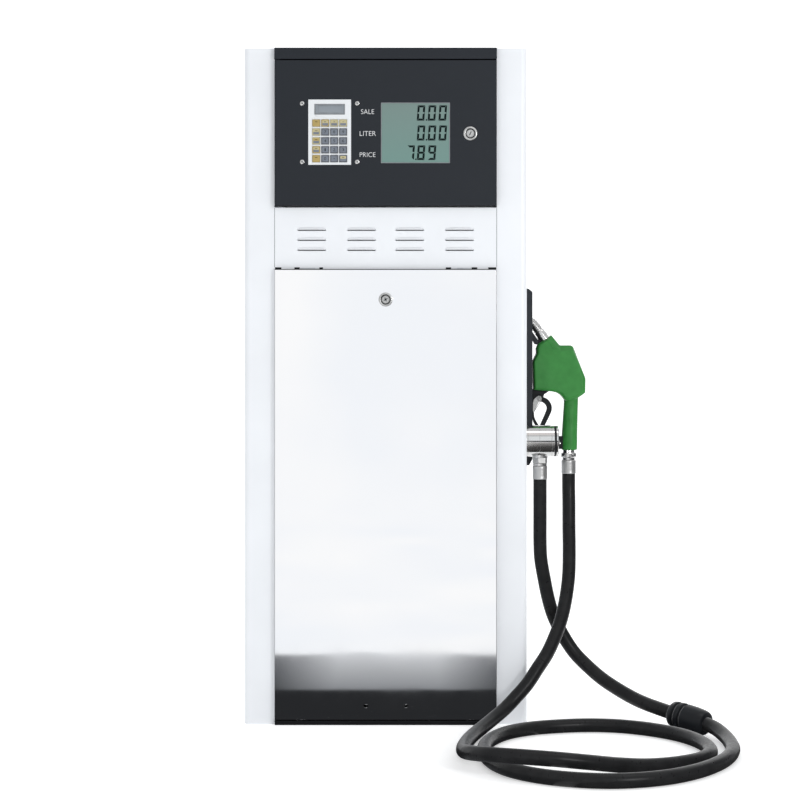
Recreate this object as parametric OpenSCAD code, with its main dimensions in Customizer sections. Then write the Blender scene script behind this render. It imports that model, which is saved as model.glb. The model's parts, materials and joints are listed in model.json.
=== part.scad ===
/* [Cabinet] */
// Width over the two side columns
cab_w = 670; // [640:5:720]
// Depth of the cabinet from door face to back
cab_d = 420; // [420:5:480]
// Height to the top of the cap
cab_h = 1600; // [1600:5:1650]
// Width of the front face of each column
col_w = 72; // [70:1:76]
// How far the doors and the cap stand in front of the columns
proud = 14; // [8:1:16]
// Radius of the columns' upright outer corners
corner_r = 14; // [12:1:30]
// Thickness of the column sheet
sheet = 3; // [2:0.5:3]

/* [Header] */
// Top of the louvre panel, where the header box starts
louvre_top = 1223; // [1220:1:1224]
// Bottom edge of the display door
display_bottom = 1227; // [1227:1:1229]
// Top edge of the display door
display_top = 1570; // [1560:1:1571]
// Bottom edge of the cap
cap_bottom = 1573; // [1573:1:1574]

/* [Lower door] */
// Bottom edge of the lower door
door_bottom = 13; // [13:1:14]
// Top edge of the lower door
door_top = 1075; // [1060:1:1077]
// Height of the door lock's centre
door_lock_z = 1005; // [1004:0.5:1006]

/* [Keypad] */
// Distance between key centres across
key_pitch_x = 21.2; // [20:0.1:21.5]
// Distance between key centres up and down
key_pitch_z = 21; // [20:0.1:21.5]
// Width of one key
key_w = 18; // [16:0.5:18.5]
// Height of one key
key_h = 16.4; // [14:0.2:18]
// How far a key stands in front of the keypad plate
key_proud = 1.6; // [1.4:0.1:2.5]

/* [Nozzle and hose] */
// Outside radius of the hose
hose_r = 16; // [14:0.5:16]
// Outside radius of the spout
spout_r = 10.3; // [9:0.1:10.5]
// Radius of the grip cover
grip_r = 19; // [17:0.5:19]
// Radius of the sight glass housing
housing_r = 37.8; // [34:0.2:38]

/* [Hidden] */
$fn = 64;

white = "white";
charcoal = "#2d3238";
black_plastic = "#1c1d1f";
rubber = "#28282a";
steel = "#b9bcc0";
iron = "#5b6065";
nozzle_green = "#2f8f43";

half_w = cab_w / 2;
front_y = -cab_d / 2;                 // face of the doors and the cap
back_y = cab_d / 2;
col_front = front_y + proud;          // face of the columns and the louvre panel
bay = half_w - col_w;                 // half the opening between the columns
inner_x = half_w - sheet;             // inside face of a column's side wall
door_x = bay - 1.5;                   // half the width of either door
door_depth = 24;
lip_w = 16;                           // how far a column's edges turn inwards
door_back = front_y + door_depth;

// Hinge pin of the display door
hinge_x = -bay + 9;
hinge_y = front_y + 8;
pin_r = 3;
pin_gap = 0.05;                       // radial clearance of every running fit

// Locks
display_lock_x = 200;
display_lock_z = 1397;
lock_rim_r = 17;
plug_r = 8;
cam_t = 3;
display_cam_y = col_front + lip_w + 2;
door_cam_y = col_front + 22;
keeper_y = col_front + 17;

// Keypad and displays
pad_x = -132;
keys_z = 1379.4;
key_rows = 5;
key_cols = 4;
pad_w = 101;
pad_z = [1323, 1477];
plate_t = 2;
skin = 2;                             // thickness of the door skins
key_back = front_y + 4.6;             // rear face of a key at rest
pad_lcd = [72, 25, 1454];             // width, height and centre of the keypad's window
lcd_x = [-11, 152];
lcd_z = [1327, 1470];
screw_dx = 65;
screw_z = [1330, 1468];

// Nozzle, in the plane y = nozzle_y
nozzle_y = -40;
cover_t = 56;
boot_face = half_w + 19;
grip_x = 449;
grip_z = 641;
inlet_x = 446;
pivot_x = 373.5;
pivot_z = 766.6;
collar = [384.7, 916];
spout_bend = [352.6, 960.7];
spout_tip = [251.2, 987.9];
core_start = [412, 878];

// Outlet with the sight glass, on an axis along X
out_y = -130;
out_z = 667;
out_x = 370;
ferrule_r = 17.5;
outlet_ferrule_z = [576, 608];
nozzle_ferrule_z = [584, 617];

// Routes of the two hoses: hand-placed points along each centreline
outlet_route = [
    [370, -130, 576], [370, -130, 530], [370, -130, 480], [370, -130, 430], [372, -129, 385],
    [380, -125, 338], [391, -119, 286], [405, -113, 242], [428, -109, 196], [454, -114, 157],
    [486, -127, 125], [518, -146, 99], [552, -174, 79], [584, -205, 64], [612, -236, 55],
    [640, -268, 49], [666, -296, 44]
];
nozzle_route = [
    [734, -362, 31], [752, -396, 26], [764, -450, 19], [766, -510, 16], [759, -585, 16],
    [738, -660, 16], [704, -732, 16], [656, -800, 16], [596, -856, 16], [530, -890, 16],
    [460, -903, 16], [390, -891, 16], [326, -859, 16], [274, -809, 16], [241, -750, 16],
    [223, -680, 16], [217, -605, 16], [223, -528, 16], [243, -455, 16], [280, -386, 16],
    [335, -336, 16], [402, -308, 16], [470, -296, 16], [540, -307, 16], [606, -346, 16],
    [660, -404, 16], [694, -474, 16], [709, -550, 16], [704, -622, 16], [672, -688, 16],
    [618, -732, 16], [552, -765, 18], [488, -794, 26], [424, -826, 38], [360, -842, 47],
    [297, -838, 51], [250, -822, 51], [212, -798, 49], [184, -754, 43], [171, -690, 34],
    [171, -620, 26], [176, -550, 20], [186, -480, 17], [201, -418, 18], [222, -364, 23],
    [248, -312, 33], [279, -270, 50], [308, -250, 76], [333, -238, 102], [358, -222, 136],
    [382, -202, 168], [403, -177, 206], [420, -152, 246], [433, -126, 294], [441, -104, 344],
    [444, -82, 400], [445, -62, 455], [446, -48, 510], [446, -41, 548], [446, -40, 584]
];
hose_sides = 8;
coupling_ends = [[666, -296, 44], [734, -362, 31]];
coupling_way = unit(coupling_ends[1] - coupling_ends[0]);
coupling_r = 31;

// ---------------------------------------------------------------- helpers

module slab(x, y, z) {
    translate([x[0], y[0], z[0]]) cube([x[1] - x[0], y[1] - y[0], z[1] - z[0]]);
}

module rod_x(r, x, y, z) {
    translate([x[0], y, z]) rotate([0, 90, 0]) cylinder(r = r, h = x[1] - x[0]);
}

module rod_y(r, x, y, z) {
    translate([x, y[0], z]) rotate([-90, 0, 0]) cylinder(r = r, h = y[1] - y[0]);
}

module rod_z(r, x, y, z) {
    translate([x, y, z[0]]) cylinder(r = r, h = z[1] - z[0]);
}

// A flat shape drawn in X and Z, given a thickness along Y
module plate_xz(points, y) {
    translate([0, y[1], 0]) rotate([90, 0, 0]) linear_extrude(y[1] - y[0]) polygon(points);
}

// A round bar in the nozzle's plane, from a to b given as [x, z]
module bar_xz(a, b, r, y = nozzle_y) {
    length = norm(b - a);
    translate([a[0], y, a[1]]) rotate([0, atan2(b[0] - a[0], b[1] - a[1]), 0])
        cylinder(r = r, h = length);
}

// Directions along a route. Each ring's side vector is the last one's, turned no more than it must be
function unit(v) = v / norm(v);
function way_at(p, i, first, last) =
    i == 0 ? first : i == len(p) - 1 ? last : unit(p[i + 1] - p[i - 1]);
function sides(p, first, last, i = 0, side = [0.8, 0.6, 0]) =
    i == len(p) ? []
    : let (t = way_at(p, i, first, last), s = unit(side - (side * t) * t))
        concat([s], sides(p, first, last, i + 1, s));
function tube_ring(centre, t, s, r) =
    let (u = cross(t, s))
    [for (k = [0 : hose_sides - 1])
        centre + r * (cos(360 * k / hose_sides) * s + sin(360 * k / hose_sides) * u)];

module hose_tube(route, r, first, last) {
    n = len(route);
    across = sides(route, first, last);
    rings = [for (i = [0 : n - 1])
        each tube_ring(route[i], way_at(route, i, first, last), across[i], r)];
    side_faces = [for (i = [0 : n - 2], k = [0 : hose_sides - 1])
        let (a = i * hose_sides + k, b = i * hose_sides + (k + 1) % hose_sides)
            each [[a, b, a + hose_sides], [b, b + hose_sides, a + hose_sides]]];
    start_cap = [[for (k = [hose_sides - 1 : -1 : 0]) k]];
    end_cap = [[for (k = [0 : hose_sides - 1]) (n - 1) * hose_sides + k]];
    polyhedron(points = rings, faces = concat(side_faces, start_cap, end_cap), convexity = 10);
}

// ---------------------------------------------------------------- cabinet

// Plan outline of the left column's outer face, moved in by inset on three sides
module column_outline(inset, open_x) {
    r = corner_r - inset;
    x0 = -half_w + inset;
    y0 = col_front + inset;
    y1 = back_y - inset;
    translate([x0 + r, y0]) square([open_x - x0 - r, y1 - y0]);
    translate([x0, y0 + r]) square([r + 1, y1 - y0 - 2 * r]);
    for (y = [y0 + r, y1 - r]) translate([x0 + r, y]) circle(r = r);
}

module column_shell() {
    linear_extrude(cab_h) difference() {
        column_outline(0, -bay);
        column_outline(sheet, -bay + 1);
    }
    slab([-bay - sheet, -bay], [col_front + 1, col_front + lip_w], [0, cab_h]);
    slab([-bay - sheet, -bay], [back_y - lip_w, back_y - 1], [0, cab_h]);
    translate([0, 0, cab_h - sheet]) linear_extrude(sheet) column_outline(0, -bay);
}

module left_column() {
    color(white) column_shell();
}

pocket_y = [nozzle_y - 31, nozzle_y + 31];
pocket_z = [919, 1032];
window_y = [nozzle_y - 54, nozzle_y + 54];   // cut-out that the boot's face plate covers
window_z = [860, 1032.5];
pipe_r = 17;

module right_column() {
    color(white) difference() {
        mirror([1, 0, 0]) column_shell();
        slab([inner_x - 1, half_w + 1], window_y, window_z);
        rod_x(pipe_r + 1.5, [inner_x - 1, half_w + 1], out_y, out_z);
    }
}

anchor_dx = 540;
anchor_dy = 300;
anchor_r = 7;
bench_z = 150;

// Sheet across both columns, with its corners cut to clear their rounded ones
module deck(z) {
    cut = 12;
    y0 = col_front + lip_w + 2;
    y1 = back_y - lip_w - 2;
    translate([0, 0, z[0]]) linear_extrude(z[1] - z[0]) polygon([
        [-inner_x, y0 + cut], [-inner_x + cut, y0], [inner_x - cut, y0], [inner_x, y0 + cut],
        [inner_x, y1 - cut], [inner_x - cut, y1], [-inner_x + cut, y1], [-inner_x, y1 - cut]
    ]);
}

// Floor tray with side rails, the black toe bar under the door, and the bench for pump and motor
module base_frame() {
    color(black_plastic) difference() {
        union() {
            deck([0, 5]);
            slab([-bay + 1, bay - 1], [front_y, col_front + lip_w + 3], [0, 10]);
            for (side = [-1, 1]) translate([side * (inner_x - 15), 0, 0])
                slab([-15, 15], [-150, 170], [5, 45]);
            slab([-225, 285], [-60, 120], [bench_z - 5, bench_z]);
            slab([-225, -220], [-60, 120], [4, bench_z - 4]);
            slab([280, 285], [-60, 120], [4, bench_z - 4]);
        }
        for (x = [-1, 1], y = [-1, 1])
            rod_z(anchor_r, x * anchor_dx / 2, y * anchor_dy / 2, [-1, 6]);
        slab([-210, -60], [-50, 100], [-1, 6]);
        rod_z(22, inlet_at[0], inlet_at[1], [bench_z - 6, bench_z + 1]);
    }
}

// Cap over the header, an upturned tray between the two columns
module top_cover() {
    color(charcoal) difference() {
        union() {
            difference() {
                slab([-bay, bay], [front_y, back_y], [cap_bottom, cab_h]);
                slab([-bay + sheet, bay - sheet], [front_y + sheet, back_y - sheet],
                     [cap_bottom - 1, cab_h - sheet]);
            }
            slab([-bay, -bay + 19], [front_y + 1, front_y + 20], [cap_bottom, cap_bottom + 10]);
        }
        rod_z(pin_r + pin_gap, hinge_x, hinge_y, [cap_bottom - 1, cap_bottom + 11]);
    }
}

slit_rows = [1122.6, 1146.3, 1170];
slit_cols = [-175, -57, 57, 175];
slit_w = 67;
slit_h = 3.5;

module slit_row(y) {
    for (x = slit_cols, z = slit_rows)
        slab([x - slit_w / 2, x + slit_w / 2], y, [z - slit_h / 2, z + slit_h / 2]);
}

// Fixed back sheet: white below, with the same louvres as the front
module rear_panel() {
    color(white) difference() {
        slab([-bay, bay], [back_y - 5, back_y - 2], [10, cap_bottom]);
        slit_row([back_y - 6, back_y - 1]);
    }
}

// Sheet floor of the header, with the tab that carries the display door's lower pin
module mid_shelf() {
    z = [louvre_top + 0.3, louvre_top + 3.3];
    color(steel) difference() {
        union() {
            deck(z);
            slab([-bay + 1, -bay + 20], [front_y + 1, col_front + lip_w + 3], z);
        }
        rod_z(pin_r + pin_gap, hinge_x, hinge_y, [z[0] - 1, z[1] + 1]);
        for (x = [-60, 60]) rod_z(12, x, 60, [z[0] - 1, z[1] + 1]);
    }
}

notch_x = [[-262, -247], [-216, -203.5], [-157, -148.5], [142.5, 155], [203.5, 217], [243, 262]];

// White louvre panel, flush with the columns, with the keeper that the door lock's cam catches
module louvre_panel() {
    z0 = 1080;
    color(white) difference() {
        union() {
            slab([-bay, bay], [col_front, col_front + sheet], [z0, louvre_top]);
            slab([-bay, bay], [col_front, col_front + 12], [louvre_top - sheet, louvre_top]);
            slab([-bay, bay], [col_front, keeper_y + sheet], [z0 - sheet, z0]);
            slab([-60, 60], [keeper_y, keeper_y + sheet], [door_lock_z + 19, z0]);
        }
        slit_row([col_front - 1, col_front + sheet + 1]);
        for (x = notch_x) slab(x, [col_front - 1, col_front + 8], [z0 - sheet - 1, z0 - 0.5]);
    }
}

// ---------------------------------------------------------------- pumping gear

inlet_at = [-165, 30];
inlet_bore_r = 17;
meter_at = [-110, 30];
meter_z = 440;
pump_x = [-200, -20];
motor_z = 240;

// Cast pump with its air separator dome and suction strainer cap
module pump_unit() {
    color(iron) union() {
        slab(pump_x, [-60, 120], [bench_z, 400]);
        rod_y(70, meter_at[0], [-84, -59], 250);
        rod_y(22, meter_at[0], [-96, -83], 250);
        rod_z(60, meter_at[0], meter_at[1], [399, meter_z]);
        rod_z(30, pump_x[0] + 35, 85, [399, 425]);
    }
}

// Motor bolted to the pump's side, with its feet, fan cover and terminal box
module motor() {
    color("#3c5a78") union() {
        rod_x(62, [pump_x[1], 20], meter_at[1], motor_z);
        rod_x(80, [20, 230], meter_at[1], motor_z);
        rod_x(84, [225, 275], meter_at[1], motor_z);
        for (x = [45, 185]) slab([x, x + 25], [-40, 100], [bench_z, 180]);
        slab([80, 170], [-5, 65], [300, 365]);
    }
}

// Piston flow meter with its pulse encoder on top
module flow_meter() {
    color(iron) union() {
        rod_z(72, meter_at[0], meter_at[1], [meter_z, 545]);
        rod_x(32, [meter_at[0] - 105, meter_at[0] + 105], meter_at[1], 490);
        rod_y(32, meter_at[0], [meter_at[1] - 105, meter_at[1] + 105], 490);
        rod_z(42, meter_at[0], meter_at[1], [544, 610]);
    }
}

// Suction stub with its flange for the tank line
module inlet_pipe() {
    color(steel) difference() {
        union() {
            rod_z(inlet_bore_r + 3, inlet_at[0], inlet_at[1], [12, bench_z]);
            rod_z(40, inlet_at[0], inlet_at[1], [6, 18]);
        }
        rod_z(inlet_bore_r, inlet_at[0], inlet_at[1], [5, bench_z - 10]);
    }
}

module pipe_run(points, r) {
    for (i = [0 : len(points) - 2]) {
        a = points[i];
        b = points[i + 1];
        d = b - a;
        translate(a) rotate([0, acos(d[2] / norm(d)), atan2(d[1], d[0])])
            cylinder(r = r, h = norm(d));
        if (i > 0) translate(a) sphere(r = r);
    }
}

// Pressure line from the meter through the solenoid valve to the outlet on the column
module outlet_pipe() {
    color(steel) union() {
        pipe_run([[meter_at[0] + 105, meter_at[1], 490], [150, meter_at[1], 490],
                  [150, out_y, 490], [150, out_y, out_z], [half_w, out_y, out_z]], pipe_r);
        slab([55, 110], [meter_at[1] - 26, meter_at[1] + 26], [464, 516]);
        rod_z(20, 82, meter_at[1], [515, 575]);
    }
}

// Sealed electronics box on the header floor
module control_box() {
    color("#8b9095") union() {
        slab([-170, 170], [20, 160], [louvre_top + 3.3, 1420]);
        slab([-175, 175], [12, 20], [louvre_top + 5, 1425]);
        for (x = [-130, 0, 130]) rod_z(12, x, 90, [1419, 1436]);
    }
}

// ---------------------------------------------------------------- nozzle boot and outlet

// Moulded boot: face plate on the column, spout pocket behind it and a rest lip
module nozzle_boot() {
    wall = 3;
    face_y = [nozzle_y - 58, nozzle_y + 58];
    color(black_plastic) difference() {
        union() {
            plate_xz([[half_w, 607], [boot_face - 8, 607], [boot_face, 622], [boot_face, 1026],
                      [boot_face - 10, 1034], [half_w, 1034]], face_y);
            slab([232, half_w + 1], pocket_y, pocket_z);
            plate_xz([[340, 940], [349, 940], [370, 910], [370, 899], [364, 899], [350, 922],
                      [340, 922]], [nozzle_y - 20, nozzle_y + 20]);
        }
        slab([232 + wall, boot_face + 1], [pocket_y[0] + wall, pocket_y[1] - wall],
             [940, pocket_z[1] - wall]);
        slab([232 + wall, 340], [pocket_y[0] + wall, pocket_y[1] - wall],
             [pocket_z[0] + wall, 941]);
        plate_xz([[349, 941], [349, 940], [boot_face + 1, 928.6], [boot_face + 1, 941]],
                 [pocket_y[0] + wall, pocket_y[1] - wall]);
        rod_x(housing_r + 0.5, [half_w - 1, boot_face + 1], out_y, out_z);
    }
}

module sight_glass_housing() {
    color(steel) union() {
        rod_x(housing_r, [half_w, 403.5], out_y, out_z);
        rod_z(18.5, out_x, out_y, [628, 650]);
    }
}

module sight_glass_gasket() {
    color(black_plastic) rod_x(housing_r - 1.4, [403.5, 407.5], out_y, out_z);
}

module sight_glass_cap() {
    color(steel) rod_x(housing_r, [407.5, 412.5], out_y, out_z);
}

// Hexagon union nut with the plain ring below it
module outlet_union() {
    color(steel) union() {
        translate([out_x, out_y, 614]) cylinder(r = 18.6, h = 14, $fn = 6);
        rod_z(16.5, out_x, out_y, [outlet_ferrule_z[1], 614]);
    }
}

module outlet_ferrule() {
    color(steel) rod_z(ferrule_r, out_x, out_y, outlet_ferrule_z);
}

module hose_outlet_side() {
    color(rubber) hose_tube(outlet_route, hose_r, [0, 0, -1], coupling_way);
}

// Ribbed black joint between the two hoses, lying on the floor
module hose_coupling() {
    color(black_plastic) translate((coupling_ends[0] + coupling_ends[1]) / 2)
        rotate([0, acos(coupling_way[2]), atan2(coupling_way[1], coupling_way[0])]) difference() {
            cylinder(r = coupling_r, h = norm(coupling_ends[1] - coupling_ends[0]), center = true);
            for (z = [-30, -12]) translate([0, 0, z]) difference() {
                cylinder(r = coupling_r + 1, h = 6, center = true);
                cylinder(r = coupling_r - 3, h = 7, center = true);
            }
        }
}

module hose_nozzle_side() {
    color(rubber) hose_tube(nozzle_route, hose_r, coupling_way, [0, 0, 1]);
}

// ---------------------------------------------------------------- display door

// Open-backed pan: a skin with four edges turned back
module door_pan(z, depth, wall) {
    difference() {
        slab([-door_x, door_x], [front_y, front_y + depth], z);
        slab([-door_x + wall, door_x - wall], [front_y + wall, front_y + depth + 1],
             [z[0] + wall, z[1] - wall]);
    }
}

module display_door() {
    z = [display_bottom, display_top];
    corner = [-door_x, hinge_x + 8];
    color(charcoal) difference() {
        union() {
            door_pan(z, door_depth, skin);
            for (block = [[z[0], z[0] + 16], [z[1] - 16, z[1]]])
                slab(corner, [front_y + 1, front_y + 16], block);
            rod_z(pin_r, hinge_x, hinge_y, [louvre_top + 0.6, z[0] + 2]);
            rod_z(pin_r, hinge_x, hinge_y, [z[1] - 2, cap_bottom + 8]);
        }
        slab(lcd_x, [front_y - 1, front_y + 3], lcd_z);
        slab([pad_x - 43, pad_x + 43], [front_y - 1, front_y + 3],
             [keys_z - 54, keys_z + 54]);
        slab([pad_x - pad_lcd[0] / 2, pad_x + pad_lcd[0] / 2], [front_y - 1, front_y + 3],
             [pad_lcd[2] - pad_lcd[1] / 2, pad_lcd[2] + pad_lcd[1] / 2]);
        rod_y(14.5, display_lock_x, [front_y - 1, front_y + 3], display_lock_z);
        for (x = [-1, 1], z_at = screw_z)
            rod_y(2.5, pad_x + x * screw_dx, [front_y - 1, front_y + 3], z_at);
    }
}

// Lock body with its bright rim; the key plug turns in its bore
module lock_barrel(x, z) {
    difference() {
        union() {
            rod_y(lock_rim_r, x, [front_y - 3, front_y], z);
            rod_y(14.5, x, [front_y - 1, front_y + 16], z);
        }
        rod_y(plug_r + pin_gap, x, [front_y - 4, front_y + 17], z);
    }
}

// Key plug with its cam, drawn with the cam along cam_x and cam_z from the lock's centre
module lock_plug(x, z, cam_y, cam_x, cam_z) {
    difference() {
        rod_y(plug_r, x, [front_y - 2.5, cam_y], z);
        translate([x, front_y - 2, z]) rotate([0, 25, 0])
            cube([2, 4, 10], center = true);
    }
    slab([x + cam_x[0], x + cam_x[1]], [cam_y, cam_y + cam_t], [z + cam_z[0], z + cam_z[1]]);
}

module display_lock_barrel() {
    color(steel) lock_barrel(display_lock_x, display_lock_z);
}

module display_lock_plug() {
    color(steel) lock_plug(display_lock_x, display_lock_z, display_cam_y, [-8, 8], [-72, 8]);
}

function key_x(col) = pad_x + (col - (key_cols + 1) / 2) * key_pitch_x;
function key_z(row) = keys_z - (row - (key_rows + 1) / 2) * key_pitch_z;

module keypad_plate() {
    gap = 0.5;
    color(white) difference() {
        slab([pad_x - pad_w / 2, pad_x + pad_w / 2], [front_y - plate_t, front_y], pad_z);
        for (row = [1 : key_rows], col = [1 : key_cols])
            slab([key_x(col) - key_w / 2 - gap, key_x(col) + key_w / 2 + gap],
                 [front_y - plate_t - 1, front_y + 1],
                 [key_z(row) - key_h / 2 - gap, key_z(row) + key_h / 2 + gap]);
        slab([pad_x - pad_lcd[0] / 2, pad_x + pad_lcd[0] / 2],
             [front_y - plate_t - 1, front_y + 1],
             [pad_lcd[2] - pad_lcd[1] / 2, pad_lcd[2] + pad_lcd[1] / 2]);
    }
}

// Four screws beside the keypad plate
module keypad_screws() {
    color(steel) for (x = [-1, 1], z = screw_z) {
        rod_y(5.5, pad_x + x * screw_dx, [front_y - 2.2, front_y], z);
        rod_y(2.4, pad_x + x * screw_dx, [front_y - 1, front_y + 6], z);
    }
}

module keypad_lcd() {
    w = pad_lcd[0] / 2 - 0.2;
    h = pad_lcd[1] / 2 - 0.2;
    color("#8f9a96") slab([pad_x - w, pad_x + w], [front_y - 1, front_y + 8],
                          [pad_lcd[2] - h, pad_lcd[2] + h]);
}

module main_lcd() {
    color("#71948c") union() {
        slab([lcd_x[0] + 0.2, lcd_x[1] - 0.2], [front_y + 0.6, front_y + 3],
             [lcd_z[0] + 0.2, lcd_z[1] - 0.2]);
        slab([lcd_x[0] - 8, lcd_x[1] + 8], [front_y + skin, front_y + 12],
             [lcd_z[0] - 8, lcd_z[1] + 8]);
    }
}

// One key: a cap with rounded corners that passes through the plate
module key(row, col) {
    r = 2.5;
    x = key_x(col);
    z = key_z(row);
    y = [front_y - plate_t - key_proud, key_back];
    tone = row == 1 && col < 3 || row > 3 && col == 1 ? "#b9a568"
         : col == 1 || row == 1 ? "#cfc49d" : "#8f98a6";
    color(tone) union() {
        slab([x - key_w / 2 + r, x + key_w / 2 - r], y, [z - key_h / 2, z + key_h / 2]);
        slab([x - key_w / 2, x + key_w / 2], y, [z - key_h / 2 + r, z + key_h / 2 - r]);
        for (dx = [-1, 1], dz = [-1, 1])
            rod_y(r, x + dx * (key_w / 2 - r), y, z + dz * (key_h / 2 - r));
    }
}

// ---------------------------------------------------------------- lower door

foot_r = 3.8;
foot_z = 14.5;
foot_y = front_y + 4;

// Polished door: a pan with a returned frame behind it, two holes low down and two round feet
module lower_door() {
    z = [door_bottom, door_top];
    back = [door_back - skin, door_back];
    frame_w = 60;
    color(steel) difference() {
        union() {
            door_pan(z, door_depth, skin);
            difference() {
                slab([-door_x, door_x], back, z);
                slab([-door_x + frame_w, door_x - frame_w], [back[0] - 1, back[1] + 1],
                     [z[0] + frame_w, z[1] - 110]);
            }
            for (x = [-200, 200]) rod_x(foot_r, [x - 10, x + 10], foot_y, foot_z);
        }
        rod_y(14.5, 0, [front_y - 1, front_y + 3], door_lock_z);
        rod_y(20, 0, [back[0] - 1, back[1] + 1], door_lock_z);
        for (x = [-47, 47]) rod_y(5, x, [front_y - 1, front_y + 3], 46);
    }
}

module door_lock_barrel() {
    color(steel) lock_barrel(0, door_lock_z);
}

module door_lock_plug() {
    color(steel) lock_plug(0, door_lock_z, door_cam_y, [-8, 34], [-8, 8]);
}

// ---------------------------------------------------------------- nozzle

// Cast aluminium core of the nozzle, grown by extra to cut its space in the cover
module nozzle_core(extra) {
    z_low = grip_z + 0.3 - extra;
    rod_z(14 + extra, grip_x, nozzle_y, [z_low, 810]);
    plate_xz([[374 - extra, 797 - extra], [470 + extra, 797 - extra], [470 + extra, 840],
              [450 + extra, 880 + extra], [392, 880 + extra], [374 - extra, 850]],
             [nozzle_y - 20 - extra, nozzle_y + 20 + extra]);
    bar_xz(core_start, collar, 12 + extra);
}

module nozzle_body() {
    color(steel) difference() {
        nozzle_core(0);
        rod_z(10 + pin_gap, inlet_x, nozzle_y, [grip_z - 1, grip_z + 16]);
    }
}

// Green cover over the body and the grip
module nozzle_cover() {
    color(nozzle_green) difference() {
        union() {
            plate_xz([[403, 922], [424, 897.5], [453.6, 897.5], [485.6, 815.7], [483, 781.5],
                      [468, 771.5], [430, 771.5], [417.7, 781.5], [394.7, 785], [359, 787.6],
                      [358.6, 855], [365, 876.3], [378.6, 904.9]],
                     [nozzle_y - cover_t / 2, nozzle_y + cover_t / 2]);
            rod_z(grip_r, grip_x, nozzle_y, [grip_z, 780]);
        }
        nozzle_core(0.3);
    }
}

// Bent spout, open at its tip, with the collar that holds it to the body
module nozzle_spout() {
    way = unit(spout_bend - collar);
    over = unit(spout_tip - spout_bend);
    color(steel) difference() {
        union() {
            bar_xz(collar, spout_bend, spout_r);
            translate([spout_bend[0], nozzle_y, spout_bend[1]]) sphere(r = spout_r + 0.4);
            bar_xz(spout_bend, spout_tip, spout_r);
            bar_xz(collar, collar + 6 * way, 12.4);
        }
        bar_xz(spout_tip - 80 * over, spout_tip + over, spout_r - 1.5);
    }
}

// Lever guard: top plate, two cheeks with the pivot pin, and the strap down to the grip
module lever_guard() {
    color(black_plastic) union() {
        difference() {
            union() {
                plate_xz([[357.5, 778], [392, 778], [396, 784], [357.5, 784]],
                         [nozzle_y - 11, nozzle_y + 11]);
                for (y = [[-11, -7], [7, 11]])
                    plate_xz([[364, 759], [383, 759], [386, 779], [364, 779]],
                             [nozzle_y + y[0], nozzle_y + y[1]]);
            }
            rod_y(pin_r + pin_gap, pivot_x, [nozzle_y - 12, nozzle_y + 12], pivot_z);
        }
        plate_xz([[357.5, 779], [357.5, 718], [360, 709], [366, 699], [376, 686], [396, 668],
                  [418, 648], [429.5, 648], [429.5, 672], [424, 672], [420, 660], [398, 674],
                  [379, 691], [370, 702], [364, 712], [362, 720], [362, 779]],
                 [nozzle_y - 9, nozzle_y + 9]);
    }
}

// Swivel inlet at the foot of the grip
module nozzle_swivel() {
    color(steel) union() {
        rod_z(10, inlet_x, nozzle_y, [636, grip_z + 15]);
        rod_z(14, inlet_x, nozzle_y, [635, grip_z - 0.2]);
        rod_z(18.8, inlet_x, nozzle_y, [623, 636]);
        rod_z(15, inlet_x, nozzle_y, [nozzle_ferrule_z[1], 624]);
    }
}

module nozzle_ferrule() {
    color(steel) rod_z(ferrule_r, inlet_x, nozzle_y, nozzle_ferrule_z);
}

// Trigger lever with the pin that it turns on
module nozzle_lever() {
    color(black_plastic) union() {
        plate_xz([[368, 770], [380, 773], [398, 764], [408, 743], [403, 722], [391, 703],
                  [388, 698], [382, 699], [383, 706], [394, 724], [399, 741], [391, 756],
                  [378, 761], [368, 762]], [nozzle_y - 5, nozzle_y + 5]);
        rod_y(6.5, pivot_x, [nozzle_y - 5, nozzle_y + 5], pivot_z);
        rod_y(pin_r, pivot_x, [nozzle_y - 18, nozzle_y + 13], pivot_z);
    }
}

// Sprung catch that holds the lever open, on the near side of the guard
module hold_open_latch() {
    color(steel) difference() {
        union() {
            plate_xz([[368.5, 768], [378.5, 765], [364, 725], [358, 728]],
                     [nozzle_y - 16, nozzle_y - 13]);
            rod_y(6, pivot_x, [nozzle_y - 16, nozzle_y - 13], pivot_z);
        }
        rod_y(pin_r + pin_gap, pivot_x, [nozzle_y - 17, nozzle_y - 12], pivot_z);
    }
}

// ---------------------------------------------------------------- assembly

base_frame();
left_column();
right_column();
top_cover();
rear_panel();
mid_shelf();
louvre_panel();
pump_unit();
motor();
flow_meter();
inlet_pipe();
outlet_pipe();
control_box();
nozzle_boot();
sight_glass_housing();
sight_glass_gasket();
sight_glass_cap();
outlet_union();
outlet_ferrule();
hose_outlet_side();
hose_coupling();
hose_nozzle_side();
display_door();
display_lock_barrel();
display_lock_plug();
keypad_plate();
keypad_screws();
keypad_lcd();
main_lcd();
for (row = [1 : key_rows], col = [1 : key_cols])
    key(row, col);
lower_door();
door_lock_barrel();
door_lock_plug();
nozzle_cover();
nozzle_body();
nozzle_spout();
lever_guard();
nozzle_swivel();
nozzle_ferrule();
nozzle_lever();
hold_open_latch();
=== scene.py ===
import json
import math

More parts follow.
